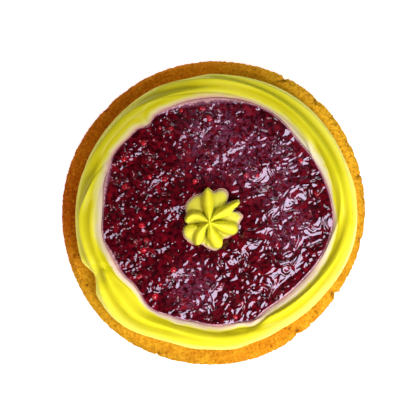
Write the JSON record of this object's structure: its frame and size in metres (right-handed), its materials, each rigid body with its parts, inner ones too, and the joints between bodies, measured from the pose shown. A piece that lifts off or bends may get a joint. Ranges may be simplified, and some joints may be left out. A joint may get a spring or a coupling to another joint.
{
  "type": "open-faced linzer jam cookie with icing",
  "caption": "Round open-faced cookie: a baked biscuit, a piped ring of yellow icing, a pool of seedy red jam inside it and a piped icing star on the jam.",
  "frame": {"origin": "centre of the cookie's box in X and Y, on the flat foot it lies on", "axes": "+Z up out of the jam side; +X is right and +Y is up as the cookie is seen from above in the picture"},
  "size_m": [0.09, 0.0902, 0.0183],
  "materials": {
    "biscuit": "baked short biscuit, golden to orange brown, fine crumb, dry and matte",
    "icing": "soft yellow butter icing, smooth and satin",
    "jam": "dark red seedy berry jam, wet and glossy",
    "star_icing": "soft yellow butter icing, smooth and satin"
  },
  "bodies": {
    "root": {"biscuit": "biscuit", "icing_ring": "icing", "jam": "jam", "icing_star": "star_icing"}
  },
  "joints": []
}
